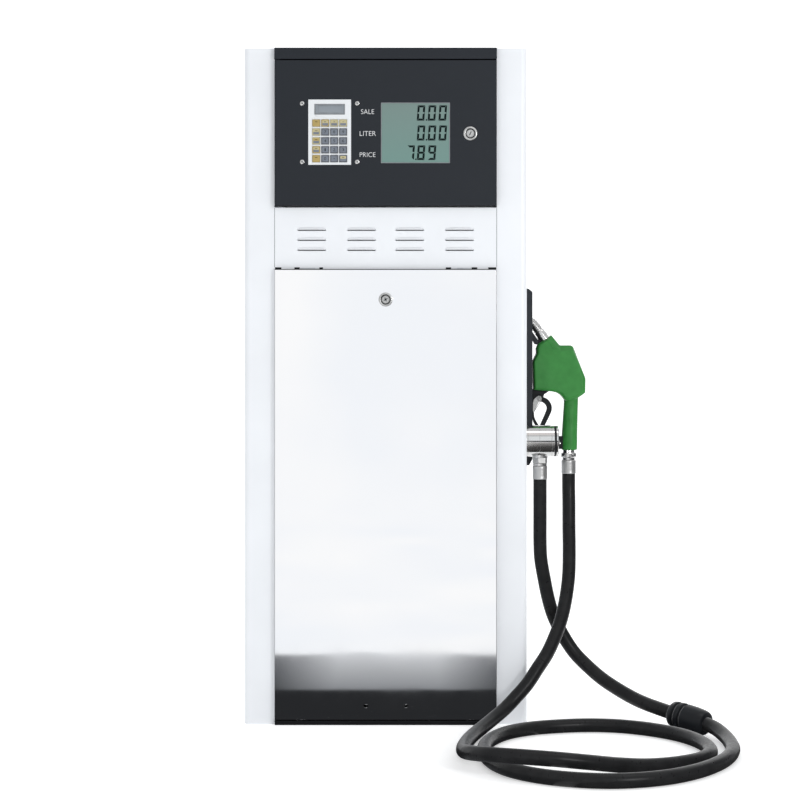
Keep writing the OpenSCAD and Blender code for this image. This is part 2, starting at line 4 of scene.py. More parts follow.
import bmesh
import bpy
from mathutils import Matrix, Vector


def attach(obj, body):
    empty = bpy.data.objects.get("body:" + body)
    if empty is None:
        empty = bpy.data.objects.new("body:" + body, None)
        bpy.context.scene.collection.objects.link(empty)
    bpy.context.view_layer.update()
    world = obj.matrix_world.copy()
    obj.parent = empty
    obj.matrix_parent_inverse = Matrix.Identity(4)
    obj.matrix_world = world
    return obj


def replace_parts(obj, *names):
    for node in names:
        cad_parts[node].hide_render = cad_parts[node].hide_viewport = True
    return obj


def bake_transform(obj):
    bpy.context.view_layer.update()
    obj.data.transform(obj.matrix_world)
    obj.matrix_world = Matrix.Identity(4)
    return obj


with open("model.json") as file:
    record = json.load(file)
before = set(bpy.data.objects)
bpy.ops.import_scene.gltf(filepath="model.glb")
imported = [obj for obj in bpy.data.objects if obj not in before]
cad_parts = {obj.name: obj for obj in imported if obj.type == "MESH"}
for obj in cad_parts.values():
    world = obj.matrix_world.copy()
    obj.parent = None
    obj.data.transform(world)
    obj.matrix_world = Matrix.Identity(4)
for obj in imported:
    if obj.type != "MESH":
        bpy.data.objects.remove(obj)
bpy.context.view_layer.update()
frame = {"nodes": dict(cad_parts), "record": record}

record = frame["record"]
nodes = frame["nodes"]

# Sizes are in millimetres, as in the CAD source, and become metres in point(). Only the studio is in metres.
MM = 0.001


def point(x, y, z):
    """A point in metres from millimetres."""
    return Vector((x, y, z)) * MM


def add(name, data):
    """A new object in the scene."""
    obj = bpy.data.objects.new(name, data)
    bpy.context.scene.collection.objects.link(obj)
    return obj


# ---------- camera

camera_data = bpy.data.cameras.new("camera")
camera_data.lens = 92.25
camera_data.sensor_width = 36
camera_data.shift_y = -0.07
camera = add("camera", camera_data)
camera.location = point(34, -5050, 900)
camera.rotation_euler = (math.radians(90), 0, 0)
bpy.context.scene.camera = camera


# ---------- materials

looks = {}      # every material by its name


class Look:
    """A Principled material whose colour, roughness and relief vary by noise in object space."""

    def __init__(self, name, color, roughness, metallic=0.0, **sockets):
        self.material = bpy.data.materials.new(name)
        looks[name] = self.material
        self.material.use_nodes = True
        self.tree = self.material.node_tree
        self.shader = self.tree.nodes["Principled BSDF"]
        self.set("Base Color", (*color, 1))
        self.set("Roughness", roughness)
        self.set("Metallic", metallic)
        for socket, value in sockets.items():
            self.set(socket.replace("_", " "), value)
        self.coordinates = self.tree.nodes.new("ShaderNodeTexCoord").outputs["Object"]
        self.normal = None

    def set(self, socket, value):
        self.shader.inputs[socket].default_value = value

    def join(self, output, target):
        self.tree.links.new(output, target)

    def node(self, kind, source, entry, **values):
        """A new node with source joined to its input entry, and its other inputs set."""
        node = self.tree.nodes.new("ShaderNode" + kind)
        self.join(source, node.inputs[entry])
        for socket, value in values.items():
            node.inputs[socket.replace("_", " ")].default_value = value
        return node

    def noise(self, cell_mm, detail=2.0, stretch=(1, 1, 1)):
        """Noise with cells about cell_mm across, drawn out along an axis where stretch is below 1."""
        placed = self.node("Mapping", self.coordinates, "Vector", Scale=stretch).outputs["Vector"]
        return self.node("TexNoise", placed, "Vector", Scale=1000 / cell_mm, Detail=detail).outputs["Fac"]

    def cells(self, cell_mm, output="Distance"):
        """Voronoi cells about cell_mm across."""
        return self.node("TexVoronoi", self.coordinates, "Vector", Scale=1000 / cell_mm).outputs[output]

    def along(self, axis):
        """The position along one axis of the frame, in metres."""
        return self.node("SeparateXYZ", self.coordinates, "Vector").outputs[axis]

    def ramp(self, source, stops):
        """A colour for each value of source, from (position, colour) stops."""
        node = self.node("ValToRGB", source, "Fac")
        elements = node.color_ramp.elements
        while len(elements) < len(stops):
            elements.new(0.5)
        for element, (position, color) in zip(elements, stops):
            element.position = position
            element.color = (*color, 1)
        return node.outputs["Color"]

    def spread(self, source, low, high, start=0.3, end=0.7):
        """Maps source from start..end to low..high."""
        node = self.node("MapRange", source, "Value", From_Min=start, From_Max=end, To_Min=low, To_Max=high)
        return node.outputs["Result"]

    def tint(self, source, dark, light, start=0.3, end=0.7):
        self.join(self.ramp(source, [(start, dark), (end, light)]), self.shader.inputs["Base Color"])

    def gloss(self, source, low, high, start=0.3, end=0.7):
        self.join(self.spread(source, low, high, start, end), self.shader.inputs["Roughness"])

    def relief(self, source, depth_mm):
        """Bump of a real depth; several calls add up."""
        bump = self.node("Bump", source, "Height", Distance=depth_mm * MM)
        if self.normal is not None:
            self.join(self.normal, bump.inputs["Normal"])
        self.normal = bump.outputs["Normal"]
        self.join(self.normal, self.shader.inputs["Normal"])


def scaled(color, factor):
    return tuple(c * factor for c in color)


def painted(name, color, roughness, grain_mm=1.4, depth_mm=0.02, **sockets):
    """Powder coat: orange peel, and a finish that is a little uneven over the sheet."""
    look = Look(name, color, roughness, **sockets)
    broad = look.noise(180, 3)
    look.tint(broad, scaled(color, 0.97), scaled(color, 1.02))
    look.gloss(broad, roughness - 0.04, roughness + 0.05)
    look.relief(look.noise(grain_mm), depth_mm)


def moulded(name, color, roughness, grain_mm=0.8, depth_mm=0.03, **sockets):
    """Moulded plastic or rubber: fine grain, scuffed here and there."""
    look = Look(name, color, roughness, **sockets)
    scuffs = look.noise(22, 5)
    look.tint(scuffs, scaled(color, 0.9), scaled(color, 1.12))
    look.gloss(scuffs, roughness - 0.06, roughness + 0.1)
    look.relief(look.noise(grain_mm, 3), depth_mm)


def metal(name, color, roughness, streak=(1, 1, 1), grain_mm=3.0, depth_mm=0.006, spread=0.08):
    """Bare metal with streaks stretched along the direction it was worked in."""
    look = Look(name, color, roughness, 1.0)
    worked = look.noise(grain_mm, 4, streak)
    look.tint(look.noise(60, 3), scaled(color, 0.92), color)
    look.gloss(worked, max(0.02, roughness - spread / 2), roughness + spread)
    look.relief(worked, depth_mm)


def polished_steel():
    """Mirror-polished sheet: a slow waviness bends its reflections, and the polish leaves faint streaks."""
    look = Look("polished_steel", (0.93, 0.935, 0.945), 0.05, 1.0)
    look.gloss(look.noise(90, 4), 0.035, 0.08)
    look.relief(look.noise(160, 1, (1, 1, 1.6)), 0.16)
    look.relief(look.noise(1.2, 2, (1, 1, 0.03)), 0.0006)


def zinc_sheet():
    """Galvanised sheet with its spangle."""
    look = Look("zinc_sheet", (0.5, 0.52, 0.54), 0.4, 1.0)
    spangle = look.cells(14, "Color")
    look.tint(spangle, (0.38, 0.4, 0.42), (0.6, 0.62, 0.64))
    look.gloss(spangle, 0.3, 0.5)
    look.relief(look.cells(14), 0.02)


def cast(name, color, roughness, metallic):
    """Sand-cast metal, with or without a coat of paint."""
    look = Look(name, color, roughness, metallic)
    look.tint(look.noise(35, 4), scaled(color, 0.8), scaled(color, 1.15))
    look.relief(look.noise(2.5, 4), 0.25)
    look.relief(look.noise(0.6), 0.05)


def hose_rubber():
    """Extruded hose cover: soft gloss, wrapping marks and a little dust."""
    look = Look("hose_rubber", (0.012, 0.0122, 0.013), 0.32, Specular_IOR_Level=0.16)
    look.tint(look.noise(30, 6), (0.01, 0.0102, 0.011), (0.016, 0.0162, 0.017))
    look.gloss(look.noise(9, 4), 0.26, 0.4)
    look.relief(look.noise(1.6, 3), 0.05)


def lcd(name, top, bottom, low_mm, high_mm):
    """Liquid crystal glass, a little lighter towards one edge, under a clear front."""
    look = Look(name, top, 0.3, 0.0, Coat_Weight=1.0, Coat_Roughness=0.06)
    height = look.spread(look.along("Z"), 0, 1, low_mm * MM, high_mm * MM)
    look.tint(height, bottom, top, 0, 1)
    look.relief(look.noise(0.5), 0.004)


# Plastic and dark paint that has lost its shine
DULL = {"Specular_IOR_Level": 0.22}

painted("white_paint", (0.8, 0.82, 0.85), 0.34, Coat_Weight=0.08, Coat_Roughness=0.2)
painted("charcoal_paint", (0.0135, 0.017, 0.023), 0.4, 0.9, 0.03, **DULL)
painted("black_paint", (0.006, 0.0065, 0.008), 0.35, **DULL)
polished_steel()
metal("bright_steel", (0.7, 0.695, 0.69), 0.14)
zinc_sheet()
cast("grey_iron", (0.11, 0.12, 0.13), 0.5, 0.2)
cast("blue_paint", (0.02, 0.07, 0.15), 0.38, 0.0)
cast("cast_aluminium", (0.6, 0.61, 0.62), 0.42, 1.0)
moulded("black_plastic", (0.009, 0.0105, 0.013), 0.36, **DULL)
moulded("grey_plastic", (0.2, 0.215, 0.23), 0.45)
moulded("green_plastic", (0.036, 0.215, 0.043), 0.34, 1.1, 0.04, **DULL)
painted("white_plate", (0.74, 0.76, 0.78), 0.34, 0.6, 0.01)
hose_rubber()
lcd("lcd_glass", (0.125, 0.2, 0.18), (0.105, 0.225, 0.195), 1327, 1470)
lcd("small_lcd", (0.19, 0.22, 0.25), (0.23, 0.26, 0.29), 1442, 1466)
moulded("key_gold", (0.4, 0.3, 0.11), 0.4, 0.5, 0.01, **DULL)
moulded("key_cream", (0.47, 0.42, 0.24), 0.4, 0.5, 0.01, **DULL)
moulded("key_grey", (0.105, 0.115, 0.135), 0.4, 0.5, 0.01, **DULL)

# Looks of single pieces, beside the slots of the record
moulded("key_face", (0.17, 0.19, 0.225), 0.38, 0.5, 0.01, **DULL)
moulded("ink_white", (0.72, 0.73, 0.74), 0.5, 0.5, 0.01)
# Dark ink for print; the same dark is also painted shade in the screw recesses and the key slots
moulded("ink_and_painted_shade", (0.005, 0.011, 0.011), 0.8, 0.5, 0.005, Specular_IOR_Level=0.05)
metal("brushed_steel", (0.6, 0.6, 0.595), 0.4, (1, 1, 0.06), 0.8, 0.01, 0.14)
moulded("boot_plastic", (0.021, 0.0245, 0.03), 0.4, 1.2, 0.05, **DULL)
metal("mirror_steel", (0.66, 0.655, 0.65), 0.07, (0.15, 1, 1), 12, 0.02, 0.03)
metal("satin_steel", (0.56, 0.56, 0.555), 0.3, (1, 1, 1), 2.5, 0.01, 0.12)


# ---------- pieces

def place(name, mesh, look, body, sharp_degrees=38):
    """Puts a mesh in the scene as a piece that rides on a body, smooth but for its sharp edges."""
    mesh.materials.clear()
    mesh.materials.append(looks[look])
    mesh.polygons.foreach_set("use_smooth", [True] * len(mesh.polygons))
    mesh.set_sharp_from_angle(angle=math.radians(sharp_degrees))
    obj = add(name, mesh)
    if body is not None:
        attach(obj, body)
    return obj


def mesh_from(name, vertices, faces):
    mesh = bpy.data.meshes.new(name)
    mesh.from_pydata([tuple(v) for v in vertices], [], faces)
    mesh.validate()
    return mesh


def place_shape(name, bm, look, body, sharp_degrees=38):
    """Places what a bmesh holds, and frees it."""
    bmesh.ops.recalc_face_normals(bm, faces=bm.faces)
    mesh = bpy.data.meshes.new(name)
    bm.to_mesh(mesh)
    bm.free()
    return place(name, mesh, look, body, sharp_degrees)


def soften(obj, width_mm, segments=3, weld=False):
    """Rounds the hard edges of a piece or a CAD node with modifiers."""
    if weld:
        obj.modifiers.new("weld", "WELD").merge_threshold = 0.00002
    bevel = obj.modifiers.new("bevel", "BEVEL")
    bevel.width = width_mm * MM
    bevel.segments = segments
    bevel.limit_method = "ANGLE"
    bevel.angle_limit = math.radians(40)
    bevel.miter_outer = "MITER_ARC"
    normals = obj.modifiers.new("normals", "WEIGHTED_NORMAL")
    normals.keep_sharp = True
    normals.weight = 80
    return obj


def way_at(path, i):
    """The direction of a path at its point i."""
    return (path[min(i + 1, len(path) - 1)] - path[max(i - 1, 0)]).normalized()


def ring_of(centre, side, up, radius, count):
    """Points evenly spaced on a circle in the plane of side and up."""
    return [centre + radius * (math.cos(a) * side + math.sin(a) * up)
            for a in (2 * math.pi * k / count for k in range(count))]


def tube_rings(path, radius, sides):
    """Rings of points round a path in metres; radius is one number or one for each point."""
    radii = radius if isinstance(radius, list) else [radius] * len(path)
    side = Vector((0.8, 0.6, 0))
    rings = []
    for i, centre in enumerate(path):
        way = way_at(path, i)
        side = (side - side.dot(way) * way).normalized()
        rings.append(ring_of(centre, side, way.cross(side), radii[i], sides))
    return rings


BOTH = (0, -1)


def bridge(bm, rings, caps=(), around=False):
    """Joins rings of points in order, and the last one to the first if they go around.
    Caps holds the ends to close: 0 is the first ring and -1 the last."""
    loops = [[bm.verts.new(spot) for spot in ring] for ring in rings]
    for low, high in zip(loops, loops[1:] + loops[:1] if around else loops[1:]):
        for i in range(len(low)):
            j = (i + 1) % len(low)
            bm.faces.new((low[i], low[j], high[j], high[i]))
    for end in caps:
        bm.faces.new(loops[end] if end else loops[end][::-1])


def tube(name, path, radius, look, body, sides=16):
    bm = bmesh.new()
    bridge(bm, tube_rings(path, radius, sides), BOTH)
    return place_shape(name, bm, look, body, 60)


def smooth_route(points, steps):
    """A smooth line in metres through given points in millimetres (Catmull-Rom)."""
    p = [point(*v) for v in points]
    p = [2 * p[0] - p[1]] + p + [2 * p[-1] - p[-2]]
    line = []
    for i in range(1, len(p) - 2):
        for s in range(steps):
            t = s / steps
            line.append(0.5 * (2 * p[i] + (p[i + 1] - p[i - 1]) * t
                               + (2 * p[i - 1] - 5 * p[i] + 4 * p[i + 1] - p[i + 2]) * t * t
                               + (3 * p[i] - p[i - 1] - 3 * p[i + 1] + p[i + 2]) * t ** 3))
    line.append(p[-2])
    return line


AXES = {"x": (1, 0, 0), "y": (0, 1, 0), "z": (0, 0, 1)}


def across(axis):
    """A direction, given by name or as numbers, with two more at right angles to it."""
    way = Vector(AXES[axis] if isinstance(axis, str) else axis).normalized()
    side = way.orthogonal().normalized()
    return way, side, way.cross(side)


def lathe(name, profile, at, axis, look, body="cabinet", sides=64, ring=False):
    """A turned piece: profile holds (distance along the axis, radius) in mm from the point at.
    The profile of a ring closes on itself; any other piece is capped at both ends."""
    way, side, up = across(axis)
    rings = [ring_of(point(*at) + way * (along * MM), side, up, r * MM, sides) for along, r in profile]
    bm = bmesh.new()
    bridge(bm, rings, () if ring else BOTH, around=ring)
    bmesh.ops.remove_doubles(bm, verts=bm.verts, dist=1e-6)
    return place_shape(name, bm, look, body, 30)


def prism(name, outline, low, high, look, body="cabinet", plane="xz", round_mm=0.0):
    """A flat outline in mm given a thickness from low to high along the third axis."""
    spots = {"xz": lambda a, b, c: point(a, c, b), "yz": lambda a, b, c: point(c, a, b),
             "xy": lambda a, b, c: point(a, b, c)}[plane]
    bm = bmesh.new()
    bridge(bm, [[spots(a, b, c) for a, b in outline] for c in (low, high)], BOTH)
    obj = place_shape(name, bm, look, body)
    return soften(obj, round_mm) if round_mm else obj


def ring_prism(name, outer, inner, low, high, look, body, round_mm):
    """A flat frame between two outlines with the same number of points, from y = low to high."""
    bm = bmesh.new()
    bridge(bm, [[point(a, y, b) for a, b in outline]
                for outline, y in ((outer, low), (outer, high), (inner, high), (inner, low))], around=True)
    return soften(place_shape(name, bm, look, body), round_mm, 2)


def circle(x, z, radius, count, start=0.0):
    return [(x + radius * math.cos(math.radians(start + 360 * k / count)),
             z + radius * math.sin(math.radians(start + 360 * k / count))) for k in range(count)]


def box(x, z):
    """Outline of a rectangle, from x = (low, high) and z = (low, high)."""
    return [(x[0], z[0]), (x[1], z[0]), (x[1], z[1]), (x[0], z[1])]


def rounded_box(x, z, radius, steps=6):
    """Outline of a rectangle with round corners."""
    corners = [(x[1] - radius, z[1] - radius, 0), (x[0] + radius, z[1] - radius, 90),
               (x[0] + radius, z[0] + radius, 180), (x[1] - radius, z[0] + radius, 270)]
    return [spot for cx, cz, start in corners for k in range(steps + 1)
            for spot in circle(cx, cz, radius, 1, start + 90 * k / steps)]


# ---------- hoses

HOSE_MM = 32
outlet_route = [
    (370, -130, 576), (370, -130, 530), (370, -130, 480), (370, -130, 430), (372, -129, 385),
    (380, -125, 338), (391, -119, 286), (405, -113, 242), (428, -109, 196), (454, -114, 157),
    (486, -127, 125), (518, -146, 99), (552, -174, 79), (584, -205, 64), (612, -236, 55),
    (640, -268, 49), (666, -296, 44),
]
nozzle_route = [
    (734, -362, 31), (752, -396, 26), (764, -450, 19), (766, -510, 16), (759, -585, 16),
    (738, -660, 16), (704, -732, 16), (656, -800, 16), (596, -856, 16), (530, -890, 16),
    (460, -903, 16), (390, -891, 16), (326, -859, 16), (274, -809, 16), (241, -750, 16),
    (223, -680, 16), (217, -605, 16), (223, -528, 16), (243, -455, 16), (280, -386, 16),
    (335, -336, 16), (402, -308, 16), (470, -296, 16), (540, -307, 16), (606, -346, 16),
    (660, -404, 16), (694, -474, 16), (709, -550, 16), (704, -622, 16), (672, -688, 16),
    (618, -732, 16), (552, -765, 18), (488, -794, 26), (424, -826, 38), (360, -842, 47),
    (297, -838, 51), (250, -822, 51), (212, -798, 49), (184, -754, 43), (171, -690, 34),
    (171, -620, 26), (176, -550, 20), (186, -480, 17), (201, -418, 18), (222, -364, 23),
    (248, -312, 33), (279, -270, 50), (308, -250, 76), (333, -238, 102), (358, -222, 136),
    (382, -202, 168), (403, -177, 206), (420, -152, 246), (433, -126, 294), (441, -104, 344),
    (444, -82, 400), (445, -62, 455), (446, -48, 510), (446, -41, 548), (446, -40, 584),
]


def hose_line(route):
    """The hose's centreline, held so high that its underside never dips below the floor."""
    line = smooth_route(route, 8)
    for p in line:
        p.z = max(p.z, HOSE_MM / 2 * MM)
    return line


def hose(name, route, body):
    line = hose_line(route)
    return tube(name, line, HOSE_MM / 2 * MM, "hose_rubber", body, 28), line


outlet_hose, outlet_line = hose("outlet_hose", outlet_route, "cabinet")
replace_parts(outlet_hose, "hose_outlet_side")
nozzle_hose, nozzle_line = hose("nozzle_hose", nozzle_route, None)
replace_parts(nozzle_hose, "hose_nozzle_side")
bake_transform(nozzle_hose)

coupling_ends = point(*outlet_route[-1]), point(*nozzle_route[0])
coupling_way = coupling_ends[1] - coupling_ends[0]
coupling_profile = [
    (-1, 17), (-1, 22), (1, 26), (4, 28.5), (12, 30), (14, 29), (15, 25.5), (19, 25.5), (20, 29),
    (22, 30.6), (30, 31), (32, 29.5), (33, 25.5), (37, 25.5), (38, 29.5), (40, 31), (64, 31), (80, 30),
    (90, 28.5), (95, 26), (97, 22), (97, 17),
]
coupling = lathe("coupling", coupling_profile, outlet_route[-1], coupling_way, "black_plastic")
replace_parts(coupling, "hose_coupling")

# The photo's door mirrors no hose, so the hoses are kept out of reflections
for piece in (outlet_hose, nozzle_hose, coupling):
    piece.visible_glossy = False


# ---------- CAD nodes

rounding_mm = {
    "left_column": 1.3, "right_column": 1.3, "top_cover": 1.2, "rear_panel": 0.5, "mid_shelf": 0.5,
    "louvre_panel": 1.3, "base_frame": 2, "display_door": 1.2, "lower_door": 1.4,
    "keypad_plate": 0.4, "nozzle_boot": 2.5, "control_box": 2, "pump_unit": 4, "motor": 1.5,
    "flow_meter": 2, "outlet_pipe": 1, "lever_guard": 1.2, "nozzle_lever": 1.6,
}
node_looks = {"nozzle_boot": "boot_plastic", "display_lock_plug": "satin_steel",
              "door_lock_plug": "satin_steel"}
for subpart in record["subparts"]:
    node = nodes[subpart["node"]]
    node.material_slots[0].link = "OBJECT"
    node.material_slots[0].material = looks[node_looks.get(subpart["node"], subpart["material_slot"])]
    if subpart["node"] in rounding_mm:
        soften(node, rounding_mm[subpart["node"]], weld=True)
    elif subpart["node"].startswith("key_"):
        soften(node, 0.7, weld=True)


# ---------- sheet metal details

FRONT = -210      # face of the doors and the cap
PANEL = -196      # face of the columns and the louvre panel
BACK = 208        # face of the back sheet
OUTWARDS = (0, -1, 0)      # the way the front faces
SLIT_ROWS = (1122.6, 1146.3, 1170)
SLIT_COLUMNS = (-175, -57, 57, 175)
SLIT_WIDTH = 67


def louvre_hoods(name, face, outwards):
    """Pressed hoods over the slits of one panel, tapering to nothing at their ends."""
    columns, rows = 24, 6
    rise, drop, proud = 6.0, -0.6, 3.2
    vertices, faces = [], []
    for x0, z0 in ((x, z) for x in SLIT_COLUMNS for z in SLIT_ROWS):
        base = len(vertices)
        for i in range(columns + 1):
            u = 2 * i / columns - 1
            full = math.sqrt(max(0.0, 1 - u ** 6))
            for k in range(rows + 1):
                v = k / rows
                height = z0 + (rise - v * (rise + drop)) * (0.35 + 0.65 * full)
                depth = proud * full * math.sin(v * math.pi / 2) ** 1.5
                vertices.append(point(x0 + u * SLIT_WIDTH / 2, face + outwards * (0.1 + depth), height))
        firsts = (base + i * (rows + 1) + k for i in range(columns) for k in range(rows))
        faces += [(a, a + 1, a + rows + 2, a + rows + 1) for a in firsts]
    hoods = place(name, mesh_from(name, vertices, faces), "white_paint", "cabinet")
    hoods.modifiers.new("thickness", "SOLIDIFY").thickness = 0.9 * MM


louvre_hoods("louvre_hoods_front", PANEL, -1)
louvre_hoods("louvre_hoods_back", BACK, 1)

# Painted shade: a black strip behind the gap between the louvre panel and the door, and black blocks in its
# notches, keep the gap dark
NOTCHES = ((-262, -247), (-216, -203.5), (-157, -148.5), (142.5, 155), (203.5, 217), (243, 262))
GAP_SHADE_FOOT = 1075.3
prism("gap_shade_strip", box((-262, 262), (GAP_SHADE_FOOT, 1076.9)), -205, -188, "black_plastic")
for k, notch in enumerate(NOTCHES):
    prism(f"notch_shade_block_{k + 1}", box(notch, (GAP_SHADE_FOOT, 1081.6)), PANEL - 0.5, -188.5, "black_plastic",
          round_mm=0.3)
for side, tab in (("left", (-203, -157.5)), ("right", (155.5, 203))):
    prism(f"panel_tab_{side}", box(tab, (1077.2, 1080.4)), PANEL - 0.4, PANEL + 0.5, "zinc_sheet",
          round_mm=0.2)
# Painted shade: a black plate hides the white hinge lug, so the gap between the display door and the louvre
# panel reads dark
prism("hinge_gap_shade", box((-262.5, -243), (1223.2, 1226.9)), FRONT + 0.1, FRONT + 0.5, "black_plastic")

SQUARE = ((-1, -1), (1, -1), (1, 1), (-1, 1))


def screw_head(name, at, axis, radius, height, body):
    """A domed head with a cross recess, filled with a dark inlay that is painted shade."""
    profile = [(0, radius), (height * 0.35, radius), (height * 0.75, radius * 0.85),
               (height, radius * 0.5), (height, radius * 0.02)]
    head = lathe(name, profile, at, axis, "bright_steel", body, 32)
    way, side, up = across(axis)
    centre = point(*at) + way * (height * MM)
    long_half, short_half, deep, proud = radius * 0.42, radius * 0.1, -0.5 * height, 0.04
    bm = bmesh.new()
    for a, b in ((side, up), (up, side)):
        bridge(bm, [[centre + (a * p * long_half + b * q * short_half + way * depth) * MM for p, q in SQUARE]
                    for depth in (deep, proud)], [-1])
    # The cross recess is a dark block: painted shade where the hollow would be shaded
    place_shape(name + "_recess_shade", bm, "ink_and_painted_shade", body)
    return head


for row, z in enumerate((60, 420, 800, 1180, 1520)):
    for side, x in (("left", -250), ("right", 250)):
        screw_head(f"back_screw_{side}_{row + 1}", (x, BACK, z), "y", 6, 3, "cabinet")

# Painted shade: grey strips along the joints where the louvre panel meets the columns stand for the shade in
# the seams
for side, x in (("left", -263), ("right", 263)):
    prism(f"panel_seam_shade_{side}", box((x - 0.6, x + 0.6), (1082, 1222)), PANEL - 0.3, PANEL + 0.5,
          "grey_plastic")


# ---------- keypad

PAD_X = -132              # the keypad's middle
KEYS_Z = 1379.4           # height of the middle row
KEY_FRONT = -213.6
KEY_PITCH = (21.2, 21)
INK = 0.15                # how far print stands off its ground
KEY_ROWS = ("    ", " 789", " 456", " 123", " 0. ")
TOP_ROWS = ("Gccc", "c   ", "g   ", "c   ", "G  c")      # G is gold all over
TOP_LOOKS = {"G": "key_gold", "g": "key_gold", "c": "key_cream"}


def applied(obj):
    """The mesh of an object with its modifiers made real; the object itself is dropped."""
    bpy.context.view_layer.update()
    mesh = bpy.data.meshes.new_from_object(obj.evaluated_get(bpy.context.evaluated_depsgraph_get()))
    bpy.data.objects.remove(obj)
    return mesh


def flat_text(name, word, x, z, y, look, body):
    """Generic lettering stretched to fill x = (low, high) and z = (low, high) on a face at y."""
    curve = bpy.data.curves.new(name, "FONT")
    curve.body = word
    curve.offset = -0.012      # slims the strokes
    mesh = applied(add(name, curve))
    xs, zs = [v.co.x for v in mesh.vertices], [v.co.y for v in mesh.vertices]
    grow_x = (x[1] - x[0]) / (max(xs) - min(xs))
    grow_z = (z[1] - z[0]) / (max(zs) - min(zs))
    for v in mesh.vertices:
        v.co = point(x[0] + (v.co.x - min(xs)) * grow_x, y, z[0] + (v.co.y - min(zs)) * grow_z)
    bm = bmesh.new()
    bm.from_mesh(mesh)
    made = bmesh.ops.extrude_face_region(bm, geom=bm.faces[:])
    front = [v for v in made["geom"] if isinstance(v, bmesh.types.BMVert)]
    bmesh.ops.translate(bm, verts=front, vec=point(0, -INK, 0))
    return place_shape(name, bm, look, body)


def key_face(row, column):
    """The printed face of one key: a grey field, with a light upper half on the function keys."""
    name = f"key_r{row}c{column}"
    x, z = PAD_X + (column - 2.5) * KEY_PITCH[0], KEYS_Z - (row - 3) * KEY_PITCH[1]
    colour = TOP_ROWS[row - 1][column - 1]
    whole, top = colour == "G", TOP_LOOKS.get(colour)
    back, front = KEY_FRONT + 0.4, KEY_FRONT - 0.12
    sides, top_edge = (x - 6.9, x + 6.9), z + 6.1
    field = rounded_box(sides, (z - 6.1, top_edge), 1.6)
    prism(name + "_field", field, front, back, top if whole else "key_face", name, round_mm=0.15)
    if top and not whole:
        upper = rounded_box(sides, (z - 0.2, top_edge), 1.4)
        prism(name + "_top", upper, front - 0.12, back, top, name, round_mm=0.1)
    legend = KEY_ROWS[row - 1][column - 1]
    if legend.isdigit():
        half = 1.2 if legend == "1" else 2.4
        flat_text(name + "_mark", legend, (x - half, x + half), (z - 3.4, z + 3.4), front, "ink_and_painted_shade", name)
        return
    if legend == ".":
        mark, proud = circle(x, z, 1.1, 16), 0.1
    elif row == 1 and column > 2:
        mark, proud = circle(x, z + 2.9, 1.3, 3, 90), 0.25
    elif top:
        mark, proud = box((x - 3, x + 3), (z + 2.3, z + 3.3)), 0.25
    else:
        return
    prism(name + "_mark", mark, front - proud, back, "ink_and_painted_shade", name)


for row in range(1, 6):
    for column in range(1, 5):
        key_face(row, column)

for side, x in (("left", -65), ("right", 65)):
    for level, z in (("low", 1330), ("high", 1468)):
        head = screw_head(f"keypad_screw_{side}_{level}", (PAD_X + x, FRONT, z), OUTWARDS, 5.5, 2.2,
                          "display_door")
        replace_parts(head, "keypad_screws")


def window_frame(name, x, z, width, low, high, radius=1.5):
    """A frame of the given width just inside a window."""
    inner = rounded_box((x[0] + width, x[1] - width), (z[0] + width, z[1] - width), radius * 0.5)
    ring_prism(name, rounded_box(x, z, radius), inner, low, high, "grey_plastic", "display_door", 0.2)


window_frame("keypad_lcd_frame", (PAD_X - 36, PAD_X + 36), (1441.5, 1466.5), 2.6, -212.6, -210.5)
window_frame("keypad_lcd_line", (PAD_X - 27.5, PAD_X + 27.5), (1445.5, 1462.5), 0.9, -211.25, -210.9, 0.8)
window_frame("main_lcd_frame", (-11, 152), (1327, 1470), 1.6, -210.3, -208.5)


# ---------- displays

SEGMENTS = {"0": "abcdef", "7": "abc", "8": "abcdefg", "9": "abcdfg"}


def digit_outlines(character, x, z):
    """Outlines of one seven-segment digit's lit segments, mitred and slightly slanted."""
    thick, gap, slant = 4.9, 0.35, 0.07
    half = thick / 2
    (x0, x1), (z0, z1) = x, z
    mid = (z0 + z1) / 2

    def level(height, inwards):
        return [(x0 + gap, height), (x1 - gap, height), (x1 - thick - gap, height + inwards),
                (x0 + thick + gap, height + inwards)]

    def upright(edge, inwards, low, low_cut, high, high_cut):
        return [(edge, low + gap), (edge, high - gap), (edge + inwards, high - high_cut - gap),
                (edge + inwards, low + low_cut + gap)]

    shapes = {
        "a": level(z1, -thick),
        "d": level(z0, thick),
        "g": [(x0 + gap + 1, mid), (x0 + thick, mid + half), (x1 - thick, mid + half), (x1 - gap - 1, mid),
              (x1 - thick, mid - half), (x0 + thick, mid - half)],
        "b": upright(x1, -thick, mid, half, z1, thick),
        "c": upright(x1, -thick, z0, thick, mid, half),
        "f": upright(x0, thick, mid, half, z1, thick),
        "e": upright(x0, thick, z0, thick, mid, half),
    }
    return [[(a + slant * (b - mid), b) for a, b in shapes[s]] for s in SEGMENTS[character]]


def lcd_figures(name, figures, dots, y):
    """All dark figures of the display as one thin piece."""
    bm = bmesh.new()
    outlines = [o for character, x, z in figures for o in digit_outlines(character, x, z)]
    outlines += [box((x - 1.6, x + 1.6), (z, z + 3.4)) for x, z in dots]
    for outline in outlines:
        bridge(bm, [[point(a, depth, b) for a, b in outline] for depth in (y, y + INK)], [0])
    place_shape(name, bm, "ink_and_painted_shade", "display_door")


